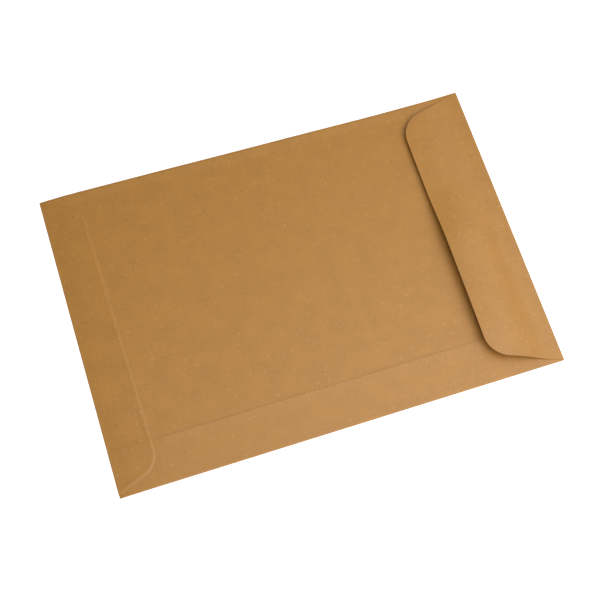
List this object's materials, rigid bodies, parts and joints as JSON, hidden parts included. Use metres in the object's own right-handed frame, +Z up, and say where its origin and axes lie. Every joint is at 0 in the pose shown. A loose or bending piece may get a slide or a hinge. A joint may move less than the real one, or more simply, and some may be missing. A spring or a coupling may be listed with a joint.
{
  "type": "paper envelope",
  "caption": "Plain kraft paper pocket envelope lying flap side up, with a glued side seam and bottom flap and an unsealed closure flap on a short side that springs a little open.",
  "frame": {"origin": "middle of the underside, on the surface that the envelope lies on", "axes": "+X along the length towards the closure flap, +Y across to the far long fold, with the side seam on the -Y side, +Z up"},
  "size_m": [0.2413, 0.165, 0.0067],
  "materials": {
    "kraft_paper": "uncoated brown kraft, matt with a faint machine glaze"
  },
  "bodies": {
    "root": {"envelope": "kraft_paper"}
  },
  "joints": []
}
